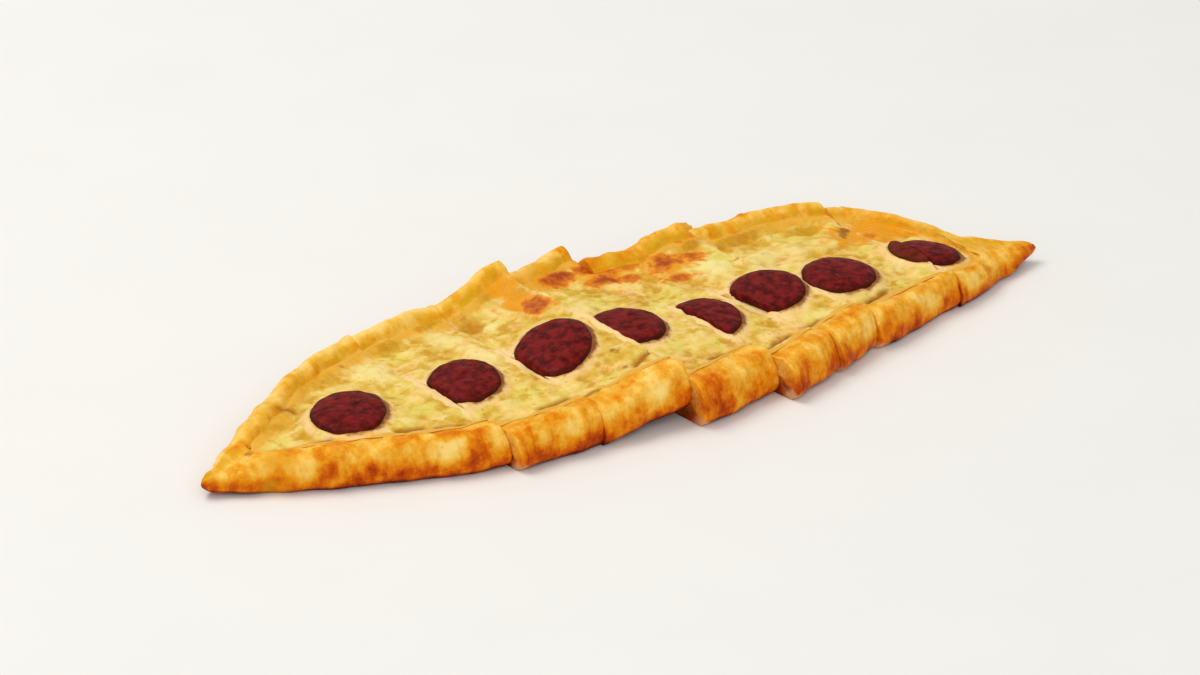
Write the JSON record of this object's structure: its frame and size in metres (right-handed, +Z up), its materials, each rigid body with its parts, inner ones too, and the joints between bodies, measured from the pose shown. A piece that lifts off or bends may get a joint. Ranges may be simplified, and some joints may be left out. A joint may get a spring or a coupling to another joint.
{
  "type": "turkish pide",
  "caption": "Long boat-shaped Turkish pide with a rolled crust, melted cheese and slices of sucuk sausage, cut across into slices that still keep the loaf's shape.",
  "frame": {"origin": "the middle of the bounding box's underside, where the loaf rests", "axes": "+X along the loaf to its narrow tail, +Y to the loaf's back rim, +Z up"},
  "size_m": [0.431, 0.1622, 0.0303],
  "materials": {
    "crust": "baked dough, golden to brown, matte with an oily sheen",
    "cheese": "melted cheese, pale cream, soft gloss",
    "sucuk": "cooked dark red sausage, oily"
  },
  "bodies": {
    "root": {"crust_1": "crust", "crust_2": "crust", "crust_3": "crust", "crust_4": "crust", "crust_5": "crust", "crust_6": "crust", "crust_7": "crust", "crust_8": "crust", "cheese_1": "cheese", "cheese_2": "cheese", "cheese_3": "cheese", "cheese_4": "cheese", "cheese_5": "cheese", "cheese_6": "cheese", "cheese_7": "cheese", "cheese_8": "cheese", "sucuk_1": "sucuk", "sucuk_2": "sucuk", "sucuk_3": "sucuk", "sucuk_4": "sucuk", "sucuk_5": "sucuk", "sucuk_6": "sucuk", "sucuk_7": "sucuk", "sucuk_8_left": "sucuk", "sucuk_8_right": "sucuk"}
  },
  "joints": []
}
